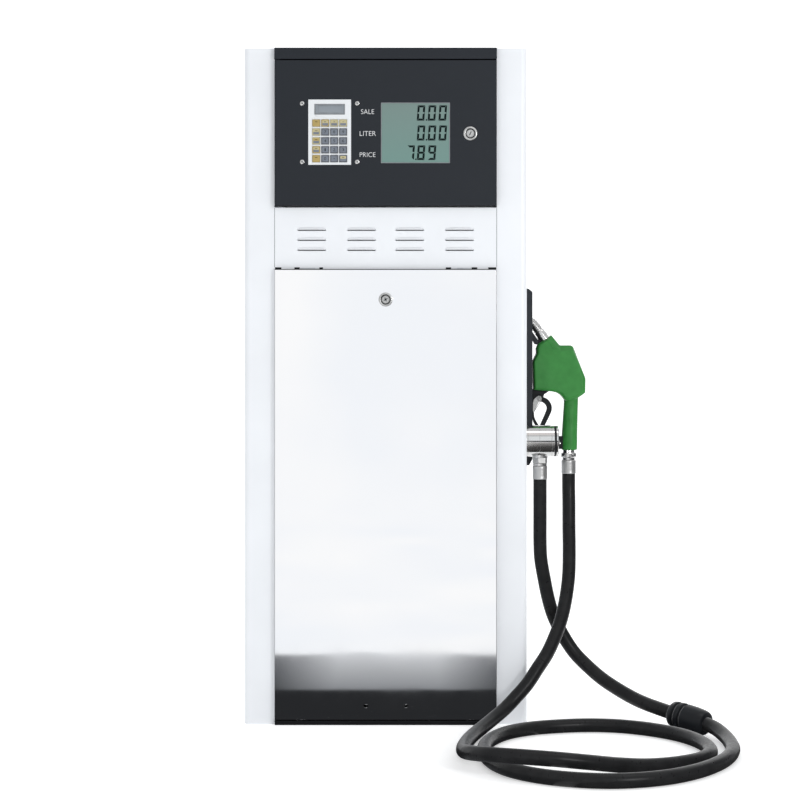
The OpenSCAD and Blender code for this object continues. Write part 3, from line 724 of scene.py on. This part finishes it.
LCD_COLUMNS = ((50.5, 68), (74.8, 92.6), (100.6, 118.6), (126, 144))
LCD_ROWS = ((1427.5, 1463.5), (1380.5, 1416), (1334.5, 1369))
figures = [("0", LCD_COLUMNS[c], LCD_ROWS[r]) for r in (0, 1) for c in (1, 2, 3)]
figures += [(character, LCD_COLUMNS[c], LCD_ROWS[2]) for c, character in enumerate("789")]
dots = [(x, foot) for x, (foot, head) in zip((96.5, 96.5, 71.4), LCD_ROWS)]
lcd_figures("main_lcd_figures", figures, dots, -209.6)

for word, x, z in (("SALE", (-58, -27), (1443, 1454)), ("LITER", (-61, -23), (1391.5, 1402.5)),
                   ("PRICE", (-61, -24), (1341.5, 1352.5))):
    flat_text(f"label_{word.lower()}", word, x, z, FRONT - 0.02, "ink_white", "display_door")


# ---------- locks

def lock_face(name, x, z, body, lobes):
    """Bright rim, dark ring with its lobes and inner seat round the key plug."""
    at = (x, FRONT, z)
    rim = [(-1.5, 16.2), (1.4, 16.6), (2.4, 16.2), (3, 15), (3.1, 13.6), (2.7, 12.1), (1.2, 11.6),
           (-1.5, 11.6)]
    face = lathe(name + "_rim", rim, at, OUTWARDS, "satin_steel", body, ring=True)
    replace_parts(face, name + "_barrel")
    outer = [circle(x, z, 11.2 + lobes * math.cos(math.radians(4 * a)), 1, a)[0] for a in range(0, 360, 6)]
    ring_prism(name + "_ring", outer, circle(x, z, 9.4, 60), FRONT - 1.6, FRONT + 14, "black_plastic", body,
               0.3)
    seat = [(-1, 8.35), (1.9, 8.35), (2.1, 8.6), (2.1, 9.2), (1.8, 9.5), (-1, 9.5)]
    lathe(name + "_seat", seat, at, OUTWARDS, "satin_steel", body, ring=True)


def slot_shade(name, x, z, turn, count):
    """Painted shade of the key slot: dark bars, one or a cross, turning with the plug."""
    for k in range(count):
        a = math.radians(turn + 90 * k)
        bar = [(x + math.cos(a) * p * 5 - math.sin(a) * q, z + math.sin(a) * p * 5 + math.cos(a) * q)
               for p, q in SQUARE]
        prism(f"{name}_slot_{k + 1}", bar, FRONT - 2.62, FRONT - 1, "ink_and_painted_shade", name)


lock_face("display_lock", 200, 1397, "display_door", 0.0)
lock_face("door_lock", 0, 1005, "lower_door", 0.9)
slot_shade("display_lock", 200, 1397, 65, 1)
slot_shade("door_lock", 0, 1005, 25, 2)


# ---------- nozzle

NOZZLE_Y = -40
COVER_HALF = 27.2

# Side profile of the cover: the rim's x and z, then how far the flat face is set in from it
COVER_EDGE = [
    (423.2, 896.8, 2, -14), (450.5, 896.8, 4, -14.8), (456.0, 893.5, 0.5, -13.5), (485.7, 815.8, -6.5, 0.5),
    (485.0, 781.5, -6.5, 4.5), (476.5, 775.0, -4, 5), (469.2, 770.4, -2.5, 5.5), (462.0, 767.0, -2, 6),
    (439.0, 762.0, 2, 8), (433.5, 765.5, 2.5, 7), (430.5, 770.0, 3, 6), (424.5, 776.8, 3, 5),
    (416.0, 781.6, 2, 5), (404.0, 784.4, 1, 5), (359.4, 788.3, 3.5, 4), (357.6, 857.0, 3.5, 0),
    (362.0, 868.0, 4, -2), (366.5, 877.0, 4.5, -2), (365.8, 890.0, 5, -1), (370.5, 900.6, 5, -2),
    (403.3, 921.6, -9.5, -10.2),
]
NOSE_END = (386.9, 911.1)
NOSE_WAY = (-0.613, 0.79)          # the spout's direction in x and z
NOSE_LENGTH = 34


def thinner(x, z):
    """How much the cover narrows towards the end of its nose, in mm on each side."""
    along = (x - NOSE_END[0]) * NOSE_WAY[0] + (z - NOSE_END[1]) * NOSE_WAY[1]
    return 5.5 * min(1.0, max(0.0, 1 + along / NOSE_LENGTH))


def nozzle_cover():
    """The thick green cover: body, nose and grip joined, then rounded like dipped plastic."""
    bm = bmesh.new()
    flat = [(x + dx, z + dz) for x, z, dx, dz in COVER_EDGE]
    rim = [(x, z) for x, z, dx, dz in COVER_EDGE]
    edge = [14 if dz < -9 else 6 for x, z, dx, dz in COVER_EDGE]
    bridge(bm, [[point(x, NOZZLE_Y + side * (COVER_HALF - thinner(x, z) - sunk * drop), z)
                 for (x, z), drop in zip(outline, edge)]
                for outline, side, sunk in ((flat, -1, 0), (rim, -1, 1), (rim, 1, 1), (flat, 1, 0))], BOTH)
    grip = [(447.5, 641.2, 17), (447.5, 642.6, 19.2), (447.6, 660, 19.6), (448.6, 690, 18.8),
            (450.2, 725, 18), (451.4, 750, 17.5), (451.8, 770, 17.7), (451.8, 800, 18)]
    grip_line = [point(x, NOZZLE_Y, z) for x, z, r in grip]
    bridge(bm, tube_rings(grip_line, [r * MM for x, z, r in grip], 40), BOTH)
    draft = place_shape("cover_draft", bm, "green_plastic", None)
    remesh = draft.modifiers.new("remesh", "REMESH")
    remesh.mode = "VOXEL"
    remesh.voxel_size = 1.4 * MM
    smooth = draft.modifiers.new("smooth", "SMOOTH")
    smooth.factor = 0.5
    smooth.iterations = 6
    cover = place("cover_skin", applied(draft), "green_plastic", "nozzle", sharp_degrees=80)
    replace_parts(cover, "nozzle_cover")


nozzle_cover()
tube("cover_rib", [point(392.3, NOZZLE_Y - 21.4, 909.5), point(409.5, NOZZLE_Y - 25.6, 887.5)], 1.2 * MM,
     "green_plastic", "nozzle")
prism("grip_pad", rounded_box((446.2, 453.6), (706, 748), 3), NOZZLE_Y - 18.7, NOZZLE_Y - 10,
      "green_plastic", "nozzle", round_mm=0.6)


def black_slab(name, outline, y, round_mm, body="nozzle"):
    """A black piece of the nozzle, from y = (front, back) of the nozzle's middle."""
    return prism(name, outline, NOZZLE_Y + y[0], NOZZLE_Y + y[1], "black_plastic", body, round_mm=round_mm)


def ribbon(name, line, widths, half, body, round_mm):
    """A black bar of varying width along a smooth line of (x, z) points, half to each side of the middle."""
    path = smooth_route([(a, 0, b) for a, b in line], 8)
    left, right = [], []
    for i, spot in enumerate(path):
        way = way_at(path, i)
        where = i / (len(path) - 1) * (len(widths) - 1)
        k = min(int(where), len(widths) - 2)
        reach = (widths[k] + (widths[k + 1] - widths[k]) * (where - k)) / 2
        spot = spot / MM
        left.append((spot.x - way.z * reach, spot.z + way.x * reach))
        right.append((spot.x + way.z * reach, spot.z - way.x * reach))
    return black_slab(name, left + right[::-1], (-half, half), round_mm, body)


PIVOT = (373.5, 766.6)      # x and z of the lever's pin
root = black_slab("guard_root", [(357.4, 790), (398, 786), (391, 780.5), (385, 777), (372, 774.6),
                                 (357.4, 774.6)], (-11, 11), 1)
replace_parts(root, "lever_guard")
cheek = [(357.4, 777), (386, 778.5), (382, 764), (377, 759), (370, 758.5), (362, 763), (357.4, 757)]
for side, y in (("front", (-11, -7)), ("back", (7, 11))):
    black_slab(f"guard_cheek_{side}", cheek, y, 0.8)
ribbon("guard_strap", [(359.8, 780), (359.4, 760), (358.8, 738), (359.4, 722), (364, 709), (373, 696),
                       (388, 682), (405, 668), (422, 656)], [5, 4.6, 4.6, 5, 7, 7, 6, 5.4, 5.4],
       9, "nozzle", 1.2)
black_slab("guard_foot", rounded_box((419.6, 434), (644, 675), 2), (-10, 10), 1)
screw_head("guard_screw", (422.6, NOZZLE_Y - 10, 657.3), OUTWARDS, 4.1, 2.6, "nozzle")
black_slab("hanging_hook", [(363.8, 912), (374, 911), (381, 905.5), (374, 897), (370.5, 896), (366, 903)],
           (-13, 13), 1.5)

lever = ribbon("trigger_lever", [(372, 766.8), (380, 765.2), (390.5, 760), (397.5, 750), (398.2, 739.5),
                                 (393.5, 727), (387.5, 714), (382, 702), (380.6, 698.5)],
               [10, 12.4, 13, 12.6, 12.4, 12, 11.4, 10.5, 9], 5, "trigger", 1.6)
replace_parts(lever, "nozzle_lever")
lathe("lever_boss", [(0, 6.3), (0.4, 6.6), (9.6, 6.6), (10, 6.3)], (PIVOT[0], NOZZLE_Y - 5, PIVOT[1]), "y",
      "black_plastic", "trigger", 32)
lathe("lever_pin", [(0, 2.6), (1, 3), (30.5, 3), (31.5, 2.6)], (PIVOT[0], NOZZLE_Y - 18, PIVOT[1]), "y",
      "bright_steel", "trigger", 28)
plate = [(367.8, 772), (372, 774), (377.5, 772.6), (379.6, 767.5), (377.8, 762), (371.5, 757.5),
         (361.2, 734.5), (358.4, 733.8), (357.4, 736), (357.6, 757), (360.2, 765.5)]
latch = prism("latch_plate", plate, NOZZLE_Y - 15.6, NOZZLE_Y - 13.2, "satin_steel", "latch", round_mm=0.6)
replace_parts(latch, "hold_open_latch")
lathe("latch_ring", [(0, 6.1), (1.4, 6.1), (1.8, 5.6), (1.8, 3.4), (0, 3.4)],
      (PIVOT[0], NOZZLE_Y - 15.4, PIVOT[1]), OUTWARDS, "bright_steel", "latch", 40, ring=True)
tube("latch_wire", [point(377, NOZZLE_Y - 14.4, 760.5), point(359.6, NOZZLE_Y - 14.4, 733.2)], 0.7 * MM,
     "satin_steel", "latch", 10)

COLLAR, BEND, TIP = (384.7, 916), (352.6, 960.7), (251.2, 987.9)
SPOUT_RADIUS = 10.3


def spout_line():
    """The spout's centreline in metres, with its bend rounded."""
    a, b, c = (point(x, NOZZLE_Y, z) for x, z in (COLLAR, BEND, TIP))
    reach = 26 * MM
    near, far = b + (a - b).normalized() * reach, b + (c - b).normalized() * reach
    bend = [near * (1 - t) ** 2 + b * (2 * t * (1 - t)) + far * t * t for t in (k / 12 for k in range(13))]
    return [a] + bend + [far.lerp(c, k / 4) for k in range(1, 5)]


def spout():
    line = spout_line()
    tip = line[-1]
    along = (tip - line[-2]).normalized() * MM
    outer = tube_rings(line, SPOUT_RADIUS * MM, 40)
    lip = tube_rings([tip + along * 0.6, tip + along * 1.2],
                     [(SPOUT_RADIUS - 0.3) * MM, (SPOUT_RADIUS - 0.9) * MM], 40)
    bore = tube_rings([tip + along * 0.6, tip - along * 60], (SPOUT_RADIUS - 1.5) * MM, 40)
    bm = bmesh.new()
    bridge(bm, outer + lip + bore, BOTH)
    shell = place_shape("spout_tube", bm, "satin_steel", "nozzle", 50)
    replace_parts(shell, "nozzle_spout")


spout()
collar_way = point(BEND[0] - COLLAR[0], 0, BEND[1] - COLLAR[1]).normalized()
collar_profile = [(-6, 12.6), (3, 12.6), (3.4, 13.4), (8, 13.4), (8.6, 12.4), (18, 12.2), (19.5, 11.4),
                  (20, 10.4)]
lathe("spout_collar", collar_profile, (COLLAR[0], NOZZLE_Y, COLLAR[1]), collar_way, "bright_steel", "nozzle")


def anchor_spring():
    """The wire wound round the spout that holds it in a tank neck."""
    line = spout_line()
    turns, start, pitch, wire, steps = 5, 22, 5.2, 1.15, 20
    side = Vector((0, 1, 0))
    path = []
    for k in range(turns * steps + 1):
        reach = start + pitch * k / steps
        travelled = 0.0
        for a, b in zip(line, line[1:]):
            step = (b - a).length / MM
            if travelled + step >= reach:
                centre, way = a.lerp(b, (reach - travelled) / step), (b - a).normalized()
                break
            travelled += step
        up = way.cross(side).normalized()
        path.append(ring_of(centre, side, up, (SPOUT_RADIUS + wire * 0.7) * MM, steps)[k % steps])
    tube("anchor_spring", path, wire * MM, "bright_steel", "nozzle", 8)


anchor_spring()


# ---------- outlet and swivel

OUTLET = (-130, 667)      # y and z of the outlet's axis
HOSE_END = (370, -130)    # x and y of the hose that hangs from the outlet
INLET = (446, -40)        # x and y of the nozzle's inlet
CAP_FACE = 410.6          # x of the cap's face, inside its rim
housing_profile = [(0, 37.8), (3, 37.8), (3.4, 37.2), (5, 37.2), (5.4, 37.8), (31, 37.8), (31.3, 37.3),
                   (33.2, 37.3), (33.5, 37.8), (60, 37.8), (60.4, 37), (62, 37), (62.4, 37.8), (67.5, 37.8),
                   (68.5, 36.8)]
housing = lathe("sight_housing", housing_profile, (335, *OUTLET), "x", "mirror_steel", sides=96)
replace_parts(housing, "sight_glass_housing")
lathe("sight_neck", [(0, 18.5), (22, 18.5), (24, 20.5), (26, 23)], (*HOSE_END, 628), "z", "bright_steel")
gasket = lathe("sight_gasket", [(0, 36), (0.5, 36.6), (3.5, 36.6), (4, 36)], (403.5, *OUTLET), "x",
               "black_plastic", sides=96)
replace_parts(gasket, "sight_glass_gasket")
cap = lathe("sight_cap", [(0, 36.8), (0.6, 37.8), (3.8, 37.8), (5, 36.4), (5, 26), (4, 25), (4, 0.1)],
            (407.5, *OUTLET), "x", "mirror_steel", sides=96)
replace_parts(cap, "sight_glass_cap")
for k, (y, z) in enumerate(circle(*OUTLET, 31.6, 6)):
    prism(f"cap_bolt_{k + 1}", circle(y, z, 4.4, 6), CAP_FACE, CAP_FACE + 3.2, "brushed_steel", plane="yz",
          round_mm=0.4)

nut = prism("outlet_union_nut", circle(*HOSE_END, 18.4, 6, 12), 614, 628, "brushed_steel", plane="xy",
            round_mm=0.9)
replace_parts(nut, "outlet_union")
lathe("outlet_union_ring", [(0, 15.5), (0.6, 16.5), (5.4, 16.5), (6, 15.5)], (*HOSE_END, 608), "z",
      "bright_steel")


def ferrule(name, at, z, body):
    """Crimped hose ferrule: a bright sleeve with shallow bands and a rolled lower edge."""
    tall = z[1] - z[0]
    profile = [(0, 16.6), (0.6, 17.5), (2.2, 17.7), (3, 17.4)]
    for band in range(1, 4):
        middle = 3 + band * (tall - 7) / 4
        profile += [(middle - 2, 17.4), (middle - 1, 17.32), (middle + 1, 17.32), (middle + 2, 17.4)]
    profile += [(tall - 3, 17.5), (tall - 1.2, 17.2), (tall - 0.2, 16), (tall, 14.5)]
    return lathe(name, profile, (*at, z[0]), "z", "brushed_steel", body, 72)


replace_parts(ferrule("outlet_sleeve", HOSE_END, (576, 608), "cabinet"), "outlet_ferrule")
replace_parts(ferrule("nozzle_sleeve", INLET, (584, 617), "inlet_swivel"), "nozzle_ferrule")
swivel_profile = [(0, 13.5), (0.6, 15), (5.5, 15), (6.5, 17.8), (8, 18.8), (16, 18.8), (17.6, 17.6),
                  (18.4, 14.6), (24, 14)]
swivel = lathe("swivel_barrel", swivel_profile, (*INLET, 617), "z", "bright_steel", "inlet_swivel", 72)
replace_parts(swivel, "nozzle_swivel")
for k, (x, y) in enumerate(circle(*INLET, 18.1, 4, 45)):
    lathe(f"swivel_flat_{k + 1}", [(0, 5), (0.9, 5), (1.2, 4.4), (1.2, 0.1)], (x, y, 629),
          (x - INLET[0], y - INLET[1], 0), "bright_steel", "inlet_swivel", 24)


# ---------- pumping gear

def bolt_ring(name, centre, axis, ring_mm, count, size_mm):
    """Hexagon bolt heads in a circle round centre, standing along the axis."""
    way, side, up = across(axis)
    bm = bmesh.new()
    for middle in ring_of(point(*centre), side, up, ring_mm * MM, count):
        bridge(bm, [ring_of(middle + way * (height * MM), side, up, radius * MM, 6)
                    for height, radius in ((-0.2, size_mm), (size_mm * 0.6, size_mm),
                                           (size_mm * 0.75, size_mm * 0.85))], [-1])
    place_shape(name, bm, "zinc_sheet", "cabinet")


for name, centre, axis, ring_mm, count, size_mm in (
        ("pump_cover_bolts", (-110, -84, 250), (0, -1, 0), 58, 8, 6.5),
        ("separator_bolts", (-110, 30, 440), (0, 0, 1), 66, 8, 5),
        ("meter_side_bolts", (-110, -75, 490), (0, -1, 0), 24, 4, 4.5),
        ("meter_flange_bolts", (-5, 30, 490), (1, 0, 0), 25, 4, 4),
        ("meter_top_bolts", (-110, 30, 610), (0, 0, 1), 32, 4, 4),
        ("motor_flange_bolts", (20, 30, 240), (-1, 0, 0), 71, 4, 6)):
    bolt_ring(name, centre, axis, ring_mm, count, size_mm)

FAN_COVER = (275, 30, 240)
FIN_FOOT, FIN_TOP = 80.5, 83.6
fins = [(0, FIN_FOOT)]
for start in range(14, 14 + 15 * 12, 12):
    fins += [(start, FIN_FOOT), (start + 0.6, FIN_TOP), (start + 3.4, FIN_TOP), (start + 4, FIN_FOOT)]
fins.append((200, FIN_FOOT))
lathe("motor_fins", fins, (20, 30, 240), "x", "blue_paint", sides=72)
bolt_ring("fan_cover_bolts", FAN_COVER, (1, 0, 0), 70, 4, 4)
lathe("fan_grille", [(0, 60), (1.5, 60), (1.5, 20), (0, 20)], FAN_COVER, "x", "zinc_sheet", ring=True)


# ---------- studio

bpy.context.scene.view_settings.view_transform = "Standard"


def stage_mesh(name, vertices, faces, material):
    obj = add(name, mesh_from(name, vertices, faces))
    obj.data.materials.append(material)
    return obj


def cyclorama():
    """A pale floor that curves up into the backdrop."""
    half, front, bend, radius, top = 9.0, -9.0, 3.0, 2.0, 7.0
    profile = [(front, 0.0), (bend, 0.0)]
    profile += [(bend + radius * math.sin(math.radians(a)), radius - radius * math.cos(math.radians(a)))
                for a in range(10, 91, 10)]
    profile.append((bend + radius, top))
    vertices = [(x, y, z) for y, z in profile for x in (-half, half)]
    faces = [(2 * i, 2 * i + 1, 2 * i + 3, 2 * i + 2) for i in range(len(profile) - 1)]
    look = Look("studio_paper", (0.93, 0.93, 0.93), 0.9)
    look.tint(look.noise(400, 2), (0.92, 0.92, 0.92), (0.94, 0.94, 0.94))
    look.set("Emission Color", (1, 1, 1, 1))
    look.set("Emission Strength", 0.42)
    obj = stage_mesh("cyclorama", vertices, faces, look.material)
    obj.data.polygons.foreach_set("use_smooth", [True] * len(obj.data.polygons))


def corners(x, y, z):
    """Corners of a card in metres; one of x, y and z is a number, the other two are (from, to)."""
    walk = iter(((0, 1, 1, 0), (0, 0, 1, 1)))
    rows = [[side[k] for k in next(walk)] if isinstance(side, tuple) else [side] * 4 for side in (x, y, z)]
    return list(zip(*rows))


def reflection_card(name, vertices, shade):
    """A card that only mirrors and gloss see, so that bright metal has something to reflect."""
    look = Look(name, shade, 0.9)
    card = stage_mesh(name, vertices, [(0, 1, 2, 3)], look.material)
    card.visible_camera = card.visible_diffuse = card.visible_shadow = False
    return look


def glowing_card(name, vertices, shade, strength):
    """A card of even brightness, seen by gloss only."""
    look = reflection_card(name, vertices, (0, 0, 0))
    look.set("Emission Color", (*shade, 1))
    look.set("Emission Strength", strength)
    look.set("Specular IOR Level", 0)
    return look


def area_light(name, at, aim, size, power):
    """A square light at a point, turned to another one."""
    data = bpy.data.lights.new(name, "AREA")
    data.shape = "RECTANGLE"
    data.size = data.size_y = size
    data.energy = power
    obj = add(name, data)
    obj.location = at
    obj.rotation_euler = (Vector(aim) - Vector(at)).to_track_quat("-Z", "Y").to_euler()


cyclorama()

# What the polished door mirrors: a black mat in front of it, a grey strip that pales towards the room and
# towards the middle, then white paper all the way
MAT_END = -1.33
MAT_SIDES = (-0.6, 0.345)
DOOR_FOOT = -0.212        # y of the door's face, where the mat starts
NEAR = (0.021, 0.022, 0.024)
mat = glowing_card("card_mat", corners(MAT_SIDES, (MAT_END, DOOR_FOOT), 0.002), (0.01, 0.01, 0.01), 1)
away = mat.spread(mat.along("Y"), 0, 1, DOOR_FOOT, MAT_END)
middle = mat.ramp(away, [(0, NEAR), (0.42, NEAR), (0.447, (0.27, 0.28, 0.295)), (0.7, (0.42, 0.43, 0.445)),
                         (0.9, (0.57, 0.58, 0.6)), (1, (0.74, 0.76, 0.78))])
sides = mat.ramp(away, [(0, NEAR), (0.42, NEAR), (0.447, (0.058, 0.062, 0.066)), (0.7, (0.105, 0.11, 0.12)),
                        (0.96, (0.18, 0.185, 0.195)), (0.98, (0.74, 0.76, 0.78)), (1, (0.9, 0.92, 0.94))])
outwards = mat.node("Math", mat.along("X"), 0)
outwards.operation = "ABSOLUTE"
blend = mat.node("Mix", mat.spread(outwards.outputs["Value"], 0, 1, 0.14, 0.31), "Factor")
blend.data_type = "RGBA"
mat.join(middle, blend.inputs["A"])
mat.join(sides, blend.inputs["B"])
mat.join(blend.outputs["Result"], mat.shader.inputs["Emission Color"])

ROOM_SIDES = (-1.6, 0.66)
ROOM_END = -6
paper_corners = [(ROOM_SIDES[0], ROOM_END, 0.003), (ROOM_SIDES[1], ROOM_END, 0.003),
                 (MAT_SIDES[1], MAT_END, 0.003), (MAT_SIDES[0], MAT_END, 0.003)]
for name, vertices in (("card_paper", paper_corners), ("card_room", corners(ROOM_SIDES, ROOM_END, (0, 2.4)))):
    paper = glowing_card(name, vertices, (0.955, 0.975, 1), 1.02)
    paper.join(paper.ramp(paper.noise(700, 2), [(0.35, (0.93, 0.95, 0.98)), (0.65, (1, 1, 1))]),
               paper.shader.inputs["Emission Color"])

# What the bright metal on the right mirrors: a darker floor, a dark line at the horizon, a cool window above
# it, a warm panel overhead and a darker side
WING = (0.68, 2.6)
wing_corners = [(0.68, -5.9, 0.002), (2.6, -5.9, 0.002), (2.6, DOOR_FOOT, 0.002), (0.346, DOOR_FOOT, 0.002)]
side_floor = reflection_card("card_side_floor", wing_corners, (0.3, 0.3, 0.3))
side_floor.tint(side_floor.spread(side_floor.along("Y"), 0, 1, -3.2, -0.25),
                (0.4, 0.39, 0.38), (0.03, 0.028, 0.026), 0, 1)
reflection_card("card_front", corners(WING, ROOM_END, (0.3, 1.2)), (0.02, 0.022, 0.025))
glowing_card("card_window", corners(WING, ROOM_END, (1.2, 5)), (0.94, 0.98, 1), 1.15)
glowing_card("card_top", corners((-0.6, 2.2), (-2.6, -0.4), 3.2), (1, 0.96, 0.95), 0.95)
glowing_card("card_skylight", corners((0.4, 2.2), (-1.2, -0.6), 3.1), (1, 1, 1), 3)
reflection_card("card_right", corners(2.7, (-5.9, 2.5), (0, 1.9)), (0.14, 0.14, 0.145))

area_light("key", (2.3, -3.7, 1.4), (0, 0, 1.1), 0.9, 38)

world = bpy.data.worlds.new("studio_world")
world.use_nodes = True
background = world.node_tree.nodes["Background"].inputs
background["Color"].default_value = (0.97, 0.985, 1, 1)
background["Strength"].default_value = 0.76
bpy.context.scene.world = world
